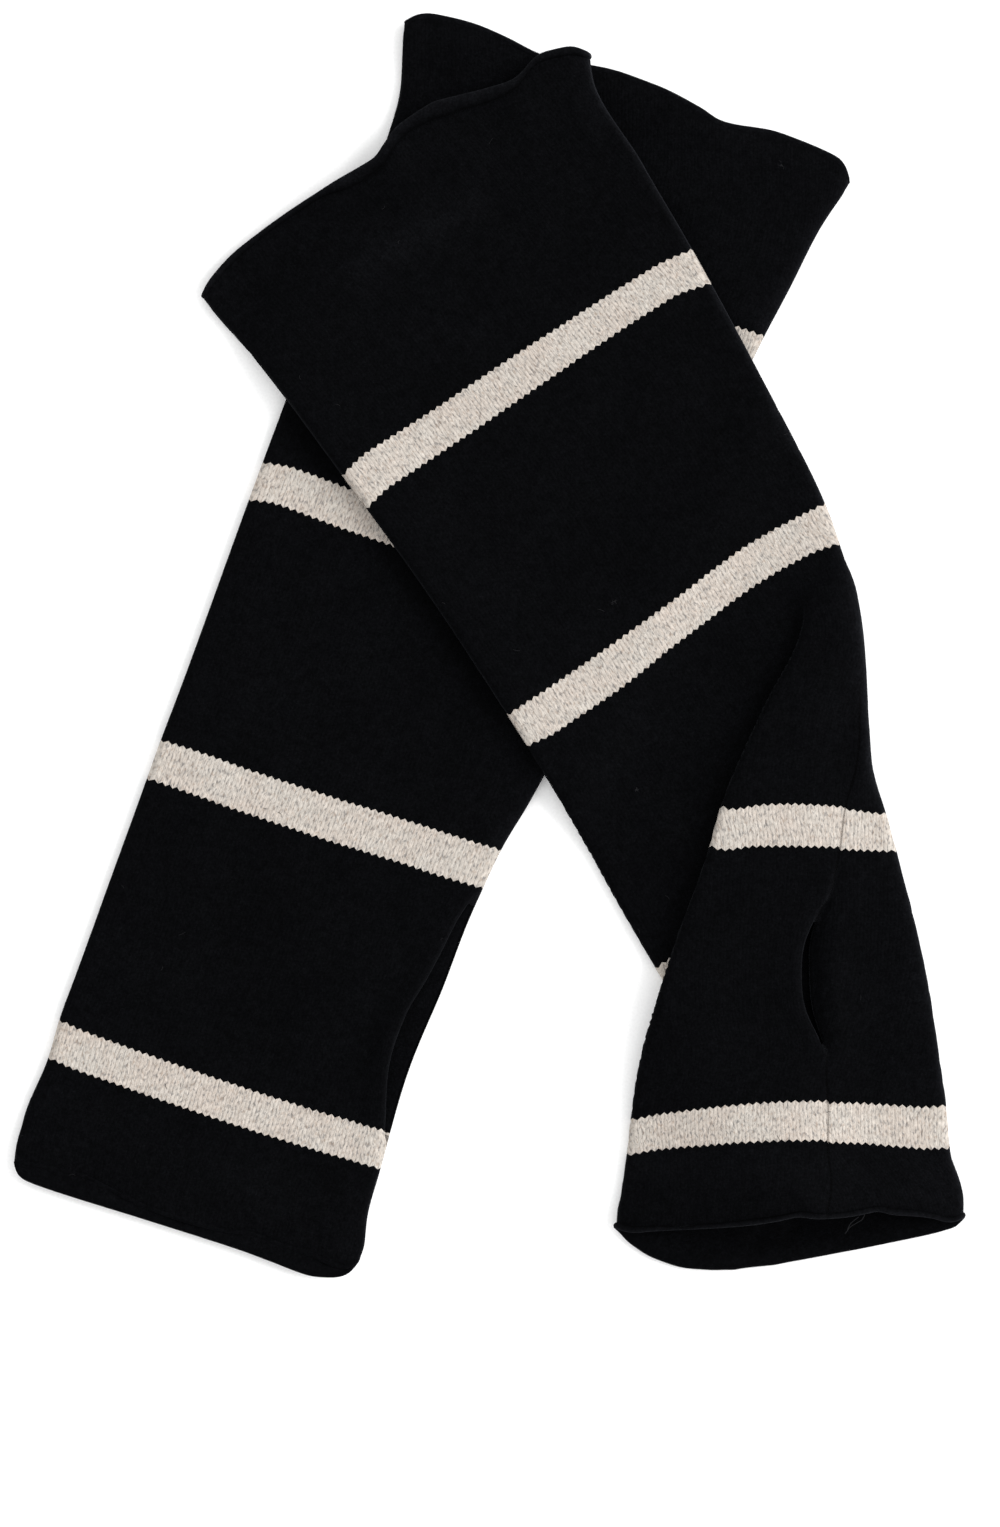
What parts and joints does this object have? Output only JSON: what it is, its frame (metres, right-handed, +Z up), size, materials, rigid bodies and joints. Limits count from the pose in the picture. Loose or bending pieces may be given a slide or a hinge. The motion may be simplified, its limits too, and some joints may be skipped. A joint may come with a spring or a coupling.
{
  "type": "pair of gloves",
  "caption": "Pair of long fingerless knitted gloves in charcoal with oatmeal stripes, laid flat and crossed, with rolled edges and a thumb slit in each side seam",
  "frame": {"origin": "on the table under the middle of the laid pair's bounding box", "axes": "x to the right and y up the picture, with the hand ends towards -y, and z up off the table"},
  "size_m": [0.2579, 0.3393, 0.0124],
  "materials": {
    "knit": "matt fine stockinette knit, charcoal with four oatmeal stripes"
  },
  "bodies": {
    "root": {"lower_glove": "knit", "upper_glove": "knit"}
  },
  "joints": []
}
